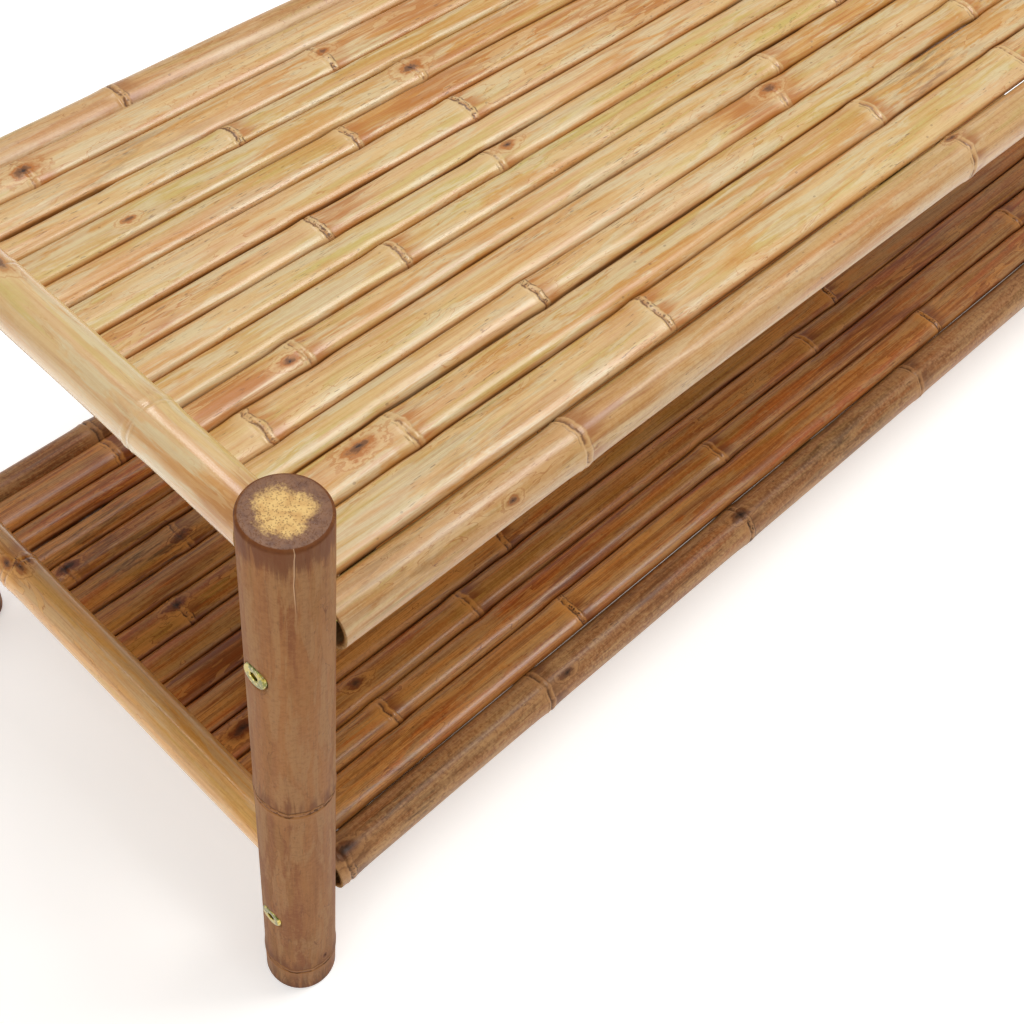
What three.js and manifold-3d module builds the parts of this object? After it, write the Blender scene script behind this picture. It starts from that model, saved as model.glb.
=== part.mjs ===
// A two-tier entryway bench in bamboo: solid corner legs, an end rail near the top and one near
// the foot of each end, and two decks of split slats between full round poles.
// Millimetres, +Z up, +X along the length. The origin is on the floor, under the middle.

import * as THREE from "three";
import { mergeVertices } from "three/addons/utils/BufferGeometryUtils.js";
import Module from "manifold-3d";

const wasm = await Module();
wasm.setup();

// ---- Driving dimensions ----

// Overall, measured over the outsides of the legs.
const LENGTH = 1044;
const DEPTH = 404;
const HEIGHT = 460;

// Legs: solid culms with eased ends.
const LEG_DIAMETER = 44;
const LEG_TOP_EASE = 2;
const LEG_FOOT_EASE = 3;

// Decks: top is the height of the slats' and poles' upper surface. The slats are split by hand,
// so their widths differ; they are given from front to rear, and share out what the poles leave.
const SEAT_BELOW_LEG_TOP = 89;
const SHELF_TOP = 109;
const SEAT = {
  name: "seat",
  top: HEIGHT - SEAT_BELOW_LEG_TOP,
  poleDiameter: 30.6,
  slatWidths: [28, 27, 21, 26, 21, 22, 22, 22, 25, 20, 24, 18, 25, 21],
};
const SHELF = {
  name: "shelf",
  top: SHELF_TOP,
  poleDiameter: 29.6,
  slatWidths: [23, 24, 24, 25, 25, 21, 24, 23, 24, 24, 20, 21, 21, 22],
};
const POLE_WALL = 5;
const POLE_HOLLOW_DEPTH = 16;

// End rails: whole culms between the front and rear leg, with a turned tenon at each end.
const UPPER_RAIL_BELOW_LEG_TOP = 26;
const LOWER_RAIL_ABOVE_SHELF = 36;
const UPPER_RAIL = {
  name: "upper_rail",
  diameter: 30,
  axisHeight: HEIGHT - UPPER_RAIL_BELOW_LEG_TOP,
};
const LOWER_RAIL = {
  name: "lower_rail",
  diameter: 27,
  axisHeight: SHELF_TOP + LOWER_RAIL_ABOVE_SHELF,
};
const TENON_DIAMETER = 15;
const TENON_LENGTH = 14;

// Slats: split culms, crowned above and hollow below.
const SLAT_THICKNESS = 12;
const SLAT_SIDE_HEIGHT = 6;
const SLAT_TROUGH_DEPTH = 4;
const SLAT_RIM = 4.5;
const SLAT_SPACING = 0.8;
const SLAT_SETBACK = 2.7;

// Battens: half culms under the slats, flat side up, across each deck.
const BATTEN_THICKNESS = 13;
const END_BATTEN_WIDTH = 24;
const MIDDLE_BATTEN_WIDTH = 34;
const END_BATTEN_INSET = 56;

// Connector bolts: through the leg into the end of each pole.
const BOLT_SHANK_DIAMETER = 6;
const BOLT_HEAD_DIAMETER = 15;
const BOLT_HEAD_HEIGHT = 2.6;
const BOLT_SOCKET_WIDTH = 5;
const BOLT_SOCKET_DEPTH = 1.8;
const BOLT_GRIP_IN_POLE = 22;
const COUNTERBORE_DEPTH = 3.4;

// Clearances.
const SEAT_GAP = 0.3;
const BOLT_CLEARANCE = 0.35;
const TENON_END_CLEARANCE = 1.5;

// Facets round a circle, and round the slats' and battens' rounded faces.
const LEG_SIDES = 24;
const POLE_SIDES = 20;
const BORE_SIDES = 12;
const BOLT_SIDES = 14;
const SLAT_CURVE_STEPS = 5;
const BATTEN_CURVE_STEPS = 8;

// ---- Derived places ----

const legRadius = LEG_DIAMETER / 2;
const legX = LENGTH / 2 - legRadius;
const legY = DEPTH / 2 - legRadius;
const poleEndX = legX - legRadius - SEAT_GAP;
const slatEndX = poleEndX - SLAT_SETBACK;

const ENDS = [
  { name: "left", sign: -1 },
  { name: "right", sign: 1 },
];
const SIDES = [
  { name: "front", sign: -1 },
  { name: "rear", sign: 1 },
];

function poleAxisHeight(deck) {
  return deck.top - deck.poleDiameter / 2;
}

// ---- Materials ----

function bambooMaterial(color, roughness) {
  return new THREE.MeshStandardMaterial({ color, roughness, metalness: 0 });
}

const legMaterial = () => bambooMaterial(0xa57350, 0.55);
const railMaterial = () => bambooMaterial(0xd3ab72, 0.3);
const poleMaterial = () => bambooMaterial(0xc8966a, 0.4);
const seatMaterial = () => bambooMaterial(0xd6b078, 0.4);
const shelfMaterial = () => bambooMaterial(0xa06937, 0.35);
const battenMaterial = () => bambooMaterial(0xb98a55, 0.6);
const zincMaterial = () =>
  new THREE.MeshStandardMaterial({ color: 0xb9b56a, roughness: 0.3, metalness: 1 });

// ---- Solids ----

// A geometry as a manifold-3d solid.
function solid(geometry) {
  const bare = geometry.clone();
  bare.deleteAttribute("normal");
  bare.deleteAttribute("uv");
  const merged = mergeVertices(bare, 1e-4);
  return new wasm.Manifold(
    new wasm.Mesh({
      numProp: 3,
      vertProperties: new Float32Array(merged.attributes.position.array),
      triVerts: new Uint32Array(merged.index.array),
    }),
  );
}

// A manifold-3d solid as a geometry.
function geometryOf(made) {
  const mesh = made.getMesh();
  const geometry = new THREE.BufferGeometry();
  geometry.setAttribute("position", new THREE.BufferAttribute(mesh.vertProperties, 3));
  geometry.setIndex(new THREE.BufferAttribute(mesh.triVerts, 1));
  const faceted = geometry.toNonIndexed();
  faceted.computeVertexNormals();
  return faceted;
}

// A solid turned about +Z from [radius, height] pairs that start and end on the axis.
function turned(profile, sides) {
  const points = profile.map(([radius, height]) => new THREE.Vector2(radius, height));
  return new THREE.LatheGeometry(points, sides).rotateX(Math.PI / 2);
}

// A cylinder from one height to another on +Z.
function rod(radius, from, to, sides) {
  return turned(
    [
      [0, from],
      [radius, from],
      [radius, to],
      [0, to],
    ],
    sides,
  );
}

// Lays a shape made along +Z along +X, and along +Y.
const alongX = (geometry) => geometry.rotateY(Math.PI / 2);
const alongY = (geometry) => geometry.rotateX(-Math.PI / 2);

function addMesh(group, name, geometry, material, [x, y, z]) {
  const mesh = new THREE.Mesh(geometry, material);
  mesh.name = name;
  mesh.position.set(x, y, z);
  group.add(mesh);
}

// ---- Legs ----

// A leg on its own axis, with blind mortises for the rails and through bores for the bolts.
// outward is the side of the bench's end, inward the direction of the other leg of the pair.
function legGeometry(outward, inward) {
  let leg = solid(
    turned(
      [
        [0, 0],
        [legRadius - LEG_FOOT_EASE, 0],
        [legRadius, LEG_FOOT_EASE],
        [legRadius, HEIGHT - LEG_TOP_EASE],
        [legRadius - LEG_TOP_EASE, HEIGHT],
        [0, HEIGHT],
      ],
      LEG_SIDES,
    ),
  );
  const mortiseRadius = TENON_DIAMETER / 2 + SEAT_GAP;
  const mortiseFloor = legRadius - TENON_LENGTH - TENON_END_CLEARANCE;
  for (const rail of [UPPER_RAIL, LOWER_RAIL]) {
    const mortise = alongY(rod(mortiseRadius, mortiseFloor, LEG_DIAMETER, BORE_SIDES));
    if (inward < 0) mortise.rotateZ(Math.PI);
    leg = leg.subtract(solid(mortise.translate(0, 0, rail.axisHeight)));
  }
  const boreRadius = BOLT_SHANK_DIAMETER / 2 + BOLT_CLEARANCE;
  const counterboreRadius = BOLT_HEAD_DIAMETER / 2 + BOLT_CLEARANCE;
  for (const deck of [SEAT, SHELF]) {
    const bore = alongX(
      turned(
        [
          [0, -LEG_DIAMETER],
          [boreRadius, -LEG_DIAMETER],
          [boreRadius, legRadius - COUNTERBORE_DEPTH],
          [counterboreRadius, legRadius - COUNTERBORE_DEPTH],
          [counterboreRadius, LEG_DIAMETER],
          [0, LEG_DIAMETER],
        ],
        BORE_SIDES,
      ),
    );
    if (outward < 0) bore.rotateZ(Math.PI);
    leg = leg.subtract(solid(bore.translate(0, 0, poleAxisHeight(deck))));
  }
  return geometryOf(leg);
}

function addLegs(group) {
  for (const side of SIDES)
    for (const end of ENDS)
      addMesh(
        group,
        `${side.name}_${end.name}_leg`,
        legGeometry(end.sign, -side.sign),
        legMaterial(),
        [end.sign * legX, side.sign * legY, 0],
      );
}

// ---- End rails ----

// A rail along Y, its shoulders coped round the legs and a tenon on each end.
function railGeometry(rail) {
  const shoulder = legY - SEAT_GAP;
  const tenonTip = legY - legRadius + TENON_LENGTH;
  let made = solid(alongY(rod(rail.diameter / 2, -shoulder, shoulder, POLE_SIDES)));
  for (const side of SIDES) {
    const leg = rod(legRadius + SEAT_GAP, -LEG_DIAMETER, LEG_DIAMETER, LEG_SIDES);
    made = made.subtract(solid(leg.translate(0, side.sign * legY, 0)));
  }
  const tenons = alongY(rod(TENON_DIAMETER / 2, -tenonTip, tenonTip, BORE_SIDES));
  return geometryOf(made.add(solid(tenons)));
}

function addRails(group) {
  for (const rail of [UPPER_RAIL, LOWER_RAIL])
    for (const end of ENDS)
      addMesh(group, `${end.name}_${rail.name}`, railGeometry(rail), railMaterial(), [
        end.sign * legX,
        0,
        rail.axisHeight,
      ]);
}

// ---- Decks ----

// A pole along X with an open hollow in each end, and past it the bore that grips the bolt.
function poleGeometry(deck) {
  const radius = deck.poleDiameter / 2;
  const hollowRadius = radius - POLE_WALL;
  const gripRadius = BOLT_SHANK_DIAMETER / 2 + BOLT_CLEARANCE;
  const hollowEnd = poleEndX - POLE_HOLLOW_DEPTH;
  const gripEnd = hollowEnd - BOLT_GRIP_IN_POLE - BOLT_CLEARANCE;
  const right = [
    [radius, poleEndX],
    [hollowRadius, poleEndX],
    [hollowRadius, hollowEnd],
    [gripRadius, hollowEnd],
    [gripRadius, gripEnd],
    [0, gripEnd],
  ];
  const left = right.map(([r, x]) => [r, -x]).reverse();
  return alongX(turned([...left, ...right], POLE_SIDES));
}

// How far a pole's surface falls back at the height where a slat's crown meets its side.
function poleShoulder(deck) {
  const radius = deck.poleDiameter / 2;
  const rise = radius - (SLAT_THICKNESS - SLAT_SIDE_HEIGHT);
  return radius - Math.sqrt(radius ** 2 - rise ** 2);
}

// A slat's section across the deck: a crowned top and a shallow trough below. Its sides stand
// upright, but where it lies beside a pole it leans out over the pole's shoulder.
function slatSection(width, frontLean, rearLean) {
  const half = width / 2;
  const crownCentre = (rearLean - frontLean) / 2;
  const crownHalf = half + (frontLean + rearLean) / 2;
  const section = new THREE.Shape();
  section.moveTo(-half, 0);
  section.lineTo(-half + SLAT_RIM, 0);
  section.quadraticCurveTo(0, 2 * SLAT_TROUGH_DEPTH, half - SLAT_RIM, 0);
  section.lineTo(half, 0);
  section.lineTo(half + rearLean, SLAT_SIDE_HEIGHT);
  section.absellipse(
    crownCentre,
    SLAT_SIDE_HEIGHT,
    crownHalf,
    SLAT_THICKNESS - SLAT_SIDE_HEIGHT,
    0,
    Math.PI,
  );
  section.closePath();
  return section;
}

// A bar along X with the given section in the Y-Z plane.
function barAlongX(section, length) {
  const bar = new THREE.ExtrudeGeometry(section, {
    depth: length,
    bevelEnabled: false,
    curveSegments: SLAT_CURVE_STEPS,
  });
  return bar
    .translate(0, 0, -length / 2)
    .rotateX(Math.PI / 2)
    .rotateZ(Math.PI / 2);
}

// A batten's section along the deck: flat above and rounded below.
function battenSection(width) {
  const section = new THREE.Shape();
  section.absellipse(0, 0, width / 2, BATTEN_THICKNESS, Math.PI, 2 * Math.PI);
  section.closePath();
  return section;
}

// A batten along Y under the slats, its ends coped round the poles.
function battenGeometry(deck, width) {
  const reach = 2 * legY;
  const bar = new THREE.ExtrudeGeometry(battenSection(width), {
    depth: reach,
    bevelEnabled: false,
    curveSegments: BATTEN_CURVE_STEPS,
  })
    .translate(0, 0, -reach / 2)
    .rotateX(Math.PI / 2);
  const poleDrop = poleAxisHeight(deck) - (deck.top - SLAT_THICKNESS - SEAT_GAP);
  let batten = solid(bar);
  for (const side of SIDES) {
    const pole = alongX(rod(deck.poleDiameter / 2 + SEAT_GAP, -LENGTH, LENGTH, POLE_SIDES));
    const past = new THREE.BoxGeometry(2 * width, 2 * legY, 4 * BATTEN_THICKNESS);
    batten = batten
      .subtract(solid(pole.translate(0, side.sign * legY, poleDrop)))
      .subtract(solid(past.translate(0, side.sign * 2 * legY, 0)));
  }
  return geometryOf(batten);
}

// The middle and width of each slat, in proportion to the split widths.
function slatLayout(deck) {
  const clearWidth = 2 * legY - deck.poleDiameter;
  const splitWidth = deck.slatWidths.reduce((sum, width) => sum + width, 0);
  const scale = (clearWidth - (deck.slatWidths.length + 1) * SLAT_SPACING) / splitWidth;
  let edge = -clearWidth / 2 + SLAT_SPACING;
  return deck.slatWidths.map((splitSize) => {
    const width = splitSize * scale;
    const y = edge + width / 2;
    edge += width + SLAT_SPACING;
    return { y, width };
  });
}

function addDeck(group, deck) {
  const material = deck === SEAT ? seatMaterial : shelfMaterial;
  for (const side of SIDES)
    addMesh(group, `${deck.name}_${side.name}_pole`, poleGeometry(deck), poleMaterial(), [
      0,
      side.sign * legY,
      poleAxisHeight(deck),
    ]);

  const battenTop = deck.top - SLAT_THICKNESS - SEAT_GAP;
  const battens = [
    ["left", -(legX - END_BATTEN_INSET), END_BATTEN_WIDTH],
    ["middle", 0, MIDDLE_BATTEN_WIDTH],
    ["right", legX - END_BATTEN_INSET, END_BATTEN_WIDTH],
  ];
  for (const [place, x, width] of battens)
    addMesh(
      group,
      `${deck.name}_${place}_batten`,
      battenGeometry(deck, width),
      battenMaterial(),
      [x, 0, battenTop],
    );

  const lean = poleShoulder(deck);
  const rearmost = deck.slatWidths.length - 1;
  slatLayout(deck).forEach(({ y, width }, i) => {
    const section = slatSection(width, i === 0 ? lean : 0, i === rearmost ? lean : 0);
    addMesh(
      group,
      `${deck.name}_slat_${String(i + 1).padStart(2, "0")}`,
      barAlongX(section, 2 * slatEndX),
      material(),
      [0, y, deck.top - SLAT_THICKNESS],
    );
  });
}

// ---- Connector bolts ----

// A bolt along +X, its head outward and flush with the leg, with a hexagon socket in the head.
function boltGeometry() {
  const shank = BOLT_SHANK_DIAMETER / 2;
  const head = BOLT_HEAD_DIAMETER / 2;
  const seat = legRadius - COUNTERBORE_DEPTH + SEAT_GAP;
  const tip = -(legRadius + SEAT_GAP + POLE_HOLLOW_DEPTH + BOLT_GRIP_IN_POLE);
  const face = seat + BOLT_HEAD_HEIGHT;
  const body = turned(
    [
      [0, tip],
      [shank, tip],
      [shank, seat],
      [head, seat],
      [head, face],
      [0, face],
    ],
    BOLT_SIDES,
  );
  const socket = rod(BOLT_SOCKET_WIDTH / Math.sqrt(3), face - BOLT_SOCKET_DEPTH, face + 1, 6);
  return geometryOf(solid(alongX(body)).subtract(solid(alongX(socket))));
}

function addBolts(group) {
  for (const deck of [SEAT, SHELF])
    for (const side of SIDES)
      for (const end of ENDS) {
        const bolt = boltGeometry();
        if (end.sign < 0) bolt.rotateZ(Math.PI);
        addMesh(group, `${deck.name}_${side.name}_${end.name}_bolt`, bolt, zincMaterial(), [
          end.sign * legX,
          side.sign * legY,
          poleAxisHeight(deck),
        ]);
      }
}

// ---- The bench ----

const bench = new THREE.Group();
addLegs(bench);
addRails(bench);
addDeck(bench, SEAT);
addDeck(bench, SHELF);
addBolts(bench);

export default bench;
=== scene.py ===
"""An entryway bench in natural bamboo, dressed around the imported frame.

Every culm and slat is one mesh, built along its own axis from its CAD node's box. Each carries
five attributes that the bamboo materials read:
  grain  the point along and across the piece, in metres, with the piece's own offset along it
  ring   signed distance to the nearest node of the culm, that node's style, nearness to an edge
  knot   distance along and round to the nearest bud scar, and the scar's size
  away   plain distances to that node and that scar, which don't jump half way to the next one
  tint   how stained, how green and how worn or dirty the skin is
Legs also carry crack: millimetres round the culm from the drying crack, and its strength there.
"""

import math

import bmesh
import bpy
import numpy as np
from mathutils import Matrix, Vector


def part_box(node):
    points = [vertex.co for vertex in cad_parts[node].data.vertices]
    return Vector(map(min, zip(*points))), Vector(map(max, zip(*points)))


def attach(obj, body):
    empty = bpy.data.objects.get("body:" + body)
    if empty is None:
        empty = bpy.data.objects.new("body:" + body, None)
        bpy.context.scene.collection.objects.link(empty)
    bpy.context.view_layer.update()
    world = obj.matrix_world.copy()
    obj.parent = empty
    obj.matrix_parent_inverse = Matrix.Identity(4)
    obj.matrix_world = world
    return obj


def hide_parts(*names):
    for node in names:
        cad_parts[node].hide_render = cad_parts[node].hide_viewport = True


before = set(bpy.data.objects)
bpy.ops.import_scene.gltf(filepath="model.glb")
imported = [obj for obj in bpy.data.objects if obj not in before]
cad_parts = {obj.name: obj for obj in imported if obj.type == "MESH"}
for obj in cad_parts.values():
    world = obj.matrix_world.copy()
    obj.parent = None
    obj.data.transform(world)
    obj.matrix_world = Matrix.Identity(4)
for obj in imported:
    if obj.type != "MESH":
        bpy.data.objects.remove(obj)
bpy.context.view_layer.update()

MM = 0.001
TAU = 2 * math.pi

# ---- Sizes that the frame doesn't give, in millimetres ----

POLE_WALL = 4.2
POLE_HOLLOW_DEPTH = 16
POLE_GRIP_LENGTH = 22
LEG_EASE = 2.2
COUNTERBORE_RADIUS = 7.85
COUNTERBORE_DEPTH = 3.4
BORE_RADIUS = 3.35
MORTISE_FLOOR = 5.5  # from the leg's axis
TENON_RADIUS = 7.5
JOINT_GAP = 0.3
CRACK_LENGTH = 52
CLOSED_SLIT = 0.22
SLAT_SIDE = 6.0
SLAT_TROUGH = 3.2
END_SLAT_REACH = 0.9
NODE_SWELL = 0.75
NODE_SWELL_LENGTH = 9
BODY_SLIMNESS = 0.75  # how much slimmer a culm is between its nodes than its CAD solid
BOLT_HEAD_HEIGHT = 2.6
BOLT_SHANK_RADIUS = 2.95
BOLT_SOCKET_REACH = 2.5  # from the axis to a flat of the hexagon
THREAD_PITCH = 1.0
THREAD_LENGTH = 36
BOLT_CREASE = math.radians(35)
NODE_SPAN = 11  # either side of a node, where a mesh is fine
NODE_STEP = 0.7
LEG_SIDES = 96
BORE_SIDES = 48
MORTISE_SIDES = 32
CULM_SIDES = 64
BOLT_SIDES = 48
SLAT_COLUMNS = 17
BATTEN_COLUMNS = 15

# ---- What the attributes hold ----

KNOT_REACH = 60  # how far knot measures, in millimetres
AWAY_MOST = 200  # and away
STAIN_KINDS = ("brown", "green", "worn")  # in the order of tint

# ---- Camera ----

CAMERA_AIM = (125 * MM, -19 * MM, -89 * MM)  # from the top of the near leg's axis
CAMERA_DISTANCE = 0.7737
CAMERA_HEADING = 52.0
CAMERA_TILT = 51.67
CAMERA_ROLL = 8.27
CAMERA_LENS = 55.98

# ---- Stage ----

FLOOR_REACH = 12  # metres
FLOOR_GAP = 0.0002
FLOOR_GLOW = 0.42
WORLD_STRENGTH = 0.52


def srgb(red, green, blue):
    """A linear colour from sRGB values out of 255."""
    values = (red / 255, green / 255, blue / 255)
    return tuple(v / 12.92 if v <= 0.04045 else ((v + 0.055) / 1.055) ** 2.4 for v in values) + (1,)


def smoothstep(x, low, high):
    t = np.clip((x - low) / (high - low), 0, 1)
    return t * t * (3 - 2 * t)


def bell(x, centre, width):
    return np.exp(-(((x - centre) / width) ** 2))


class Wander:
    """A smooth seeded curve along a piece: a few sines of different lengths, in millimetres."""

    def __init__(self, seed, size, lengths=(900, 420, 210)):
        draw = np.random.default_rng(seed)
        self.waves = [
            (
                size * draw.uniform(0.5, 1.0) / (rank + 1),
                length * draw.uniform(0.85, 1.2),
                draw.uniform(0, TAU),
            )
            for rank, length in enumerate(lengths)
        ]

    def __call__(self, s):
        return sum(size * np.sin(TAU * s / length + phase) for size, length, phase in self.waves)


# ---- Meshes ----


def mesh_object(name, points, faces):
    mesh = bpy.data.meshes.new(name)
    mesh.from_pydata((np.asarray(points) * MM).tolist(), [], faces)
    shape = bmesh.new()
    shape.from_mesh(mesh)
    bmesh.ops.recalc_face_normals(shape, faces=shape.faces)
    shape.to_mesh(mesh)
    shape.free()
    for polygon in mesh.polygons:
        polygon.use_smooth = True
    piece = bpy.data.objects.new(name, mesh)
    bpy.context.scene.collection.objects.link(piece)
    return piece


def placed(local, axis, centre):
    """Points (along, across, up) of a piece along X, Y or Z as points of the frame."""
    s, a, b = local.T
    order = {"X": (s, a, b), "Y": (a, s, b), "Z": (a, b, s)}[axis]
    return np.stack(order, axis=1) + np.asarray(centre)


def unplaced(points, axis, centre):
    x, y, z = (np.asarray(points) - np.asarray(centre)).T
    return np.stack({"X": (x, y, z), "Y": (y, x, z), "Z": (z, x, y)}[axis], axis=1)


def quads_between(first, second, count):
    """The faces between two rings of count points that start at first and at second."""
    pairs = [(i, (i + 1) % count) for i in range(count)]
    return [(first + i, first + j, second + j, second + i) for i, j in pairs]


def turned(rows, sides):
    """Local points and faces of a solid turned about its axis. A row is (along, radius), each a
    number or one value a side, and the first and last rows are points on the axis."""
    angle = around(sides)
    points = [np.array([[rows[0][0], 0.0, 0.0]])]
    for along, radius in rows[1:-1]:
        s = np.broadcast_to(along, sides)
        points.append(np.stack([s, radius * np.cos(angle), radius * np.sin(angle)], axis=1))
    points.append(np.array([[rows[-1][0], 0.0, 0.0]]))
    count = len(rows) - 2
    faces = [(0, 1 + (i + 1) % sides, 1 + i) for i in range(sides)]
    for row in range(count - 1):
        faces += quads_between(1 + row * sides, 1 + (row + 1) * sides, sides)
    last = 1 + count * sides
    faces += [(last, last - sides + i, last - sides + (i + 1) % sides) for i in range(sides)]
    return np.concatenate(points), faces


def bar(stations, left, right, top, bottom, columns, tuck=(0, 0)):
    """Local points and faces of a long bar. left and right are its edges at each station, and
    top and bottom its surfaces, given the share of the half width (-1 to 1) and the station.
    tuck is how far in the lower left and right edges lie from the upper ones."""
    share = np.sin(np.linspace(-0.5, 0.5, columns) * math.pi)
    rows = []
    for s, low, high in zip(stations, left, right):
        a = (low + high) / 2 + share * (high - low) / 2
        under = a + tuck[0] * np.clip(-share, 0, 1) ** 4 - tuck[1] * np.clip(share, 0, 1) ** 4
        upper = np.stack([np.full(columns, s), a, top(share, s)], axis=1)
        lower = np.stack([np.full(columns, s), under, bottom(share, s)], axis=1)
        rows.append(np.concatenate([upper, lower[::-1]]))
    ring = 2 * columns
    faces = []
    for row in range(len(rows) - 1):
        faces += quads_between(row * ring, (row + 1) * ring, ring)
    for start in (0, (len(rows) - 1) * ring):
        last = start + ring - 1
        faces += [(start + i, start + i + 1, last - i - 1, last - i) for i in range(columns - 1)]
    return np.concatenate(rows), faces


def stations_between(start, end, nodes, coarse):
    """Places along a piece, close together near its nodes and its ends."""
    places = {float(start), float(end)}
    places.update(np.arange(start, end, coarse).tolist())
    for node in nodes:
        places.update(np.arange(node - NODE_SPAN, node + NODE_SPAN, NODE_STEP).tolist())
    for tip, way in ((start, 1), (end, -1)):
        places.update(tip + way * step for step in (0.4, 0.9, 1.6, 2.6, 4))
    places = sorted(p for p in places if start <= p <= end)
    kept = [places[0]]
    for place in places[1:-1]:
        if place - kept[-1] > 0.35 * NODE_STEP:
            kept.append(place)
    return np.array(kept + [places[-1]])


# ---- The culm's natural shape ----


def nearest(values, places):
    """For each value, the signed distance to the nearest place and that place's number."""
    places = np.asarray(places, dtype=float)
    index = np.abs(values[:, None] - places[None, :]).argmin(axis=1)
    return values - places[index], index


def node_distance(values, nodes):
    return nearest(np.asarray(values, dtype=float), nodes)[0]


def around(sides):
    """The angles of a round piece's sides."""
    return np.arange(sides) * TAU / sides


def ring_relief(distance):
    """How far the skin stands out at a node: a soft swelling, a scar groove and a ridge."""
    swelling = 0.45 * bell(distance, 1.0, 9)
    ridge = 0.45 * bell(distance, 2.6, 1.5) + 0.3 * bell(distance, -1.9, 0.9)
    groove = -0.5 * bell(distance, 0, 0.75)
    return swelling + ridge + groove


# ---- What the materials read ----


def attribute(mesh, name, *columns):
    """Stores up to three numbers for every point; the ones left out are 0."""
    values = np.zeros((len(mesh.vertices), 3), dtype=np.float32)
    for i, column in enumerate(columns):
        values[:, i] = column
    layer = mesh.attributes.new(name, "FLOAT_VECTOR", "POINT")
    layer.data.foreach_set("vector", values.ravel())


def vertex_points(piece):
    """A piece's points in millimetres, one row each."""
    points = np.empty(len(piece.data.vertices) * 3)
    piece.data.vertices.foreach_get("co", points)
    return points.reshape(-1, 3) / MM


def turn_from(a, b, angle):
    """How far round each point (a, b) is from an angle, at most half a turn either way."""
    return np.mod(np.arctan2(b, a) - angle + math.pi, TAU) - math.pi


def paint(piece, axis, centre, seed, nodes, knots=(), stains=(), edge=None, girth=None, faint=()):
    """Writes grain, ring, away, knot and tint onto a piece. Knots are (along, angle or across,
    size). Stains are (along, length, strength, kind), where kind is brown, green or worn. edge
    gives ring's third value from the local point. faint numbers the nodes that hardly show."""
    mesh = piece.data
    s, a, b = unplaced(vertex_points(piece), axis, centre).T
    draw = np.random.default_rng(seed)
    offset = draw.uniform(1, 9)
    attribute(mesh, "grain", s * MM + offset, a * MM, b * MM)

    distance, index = nearest(s, nodes)
    styles = draw.uniform(0.2, 1, len(nodes))
    styles[list(faint)] = 0
    attribute(mesh, "ring", distance, styles[index], edge(s, a, b) if edge else 0)

    knot = np.full((3, len(s)), KNOT_REACH)
    knot[2] = 1
    best = np.full(len(s), np.inf)
    for along, where, size in knots:
        ds = s - along
        dt = a - where if girth is None else girth * turn_from(a, b, where)
        reach = np.hypot(ds, dt)
        closer = reach < best
        best = np.where(closer, reach, best)
        knot = np.where(closer, (ds, dt, np.full(len(s), size)), knot)
    attribute(mesh, "knot", *np.clip(knot, -KNOT_REACH, KNOT_REACH))
    attribute(mesh, "away", np.abs(distance), np.minimum(best, AWAY_MOST))

    tint = np.zeros((3, len(s)))
    for along, length, strength, kind in stains:
        tint[STAIN_KINDS.index(kind)] += strength * bell(s, along, length)
    attribute(mesh, "tint", *tint)


# ---- Node trees ----


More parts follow.
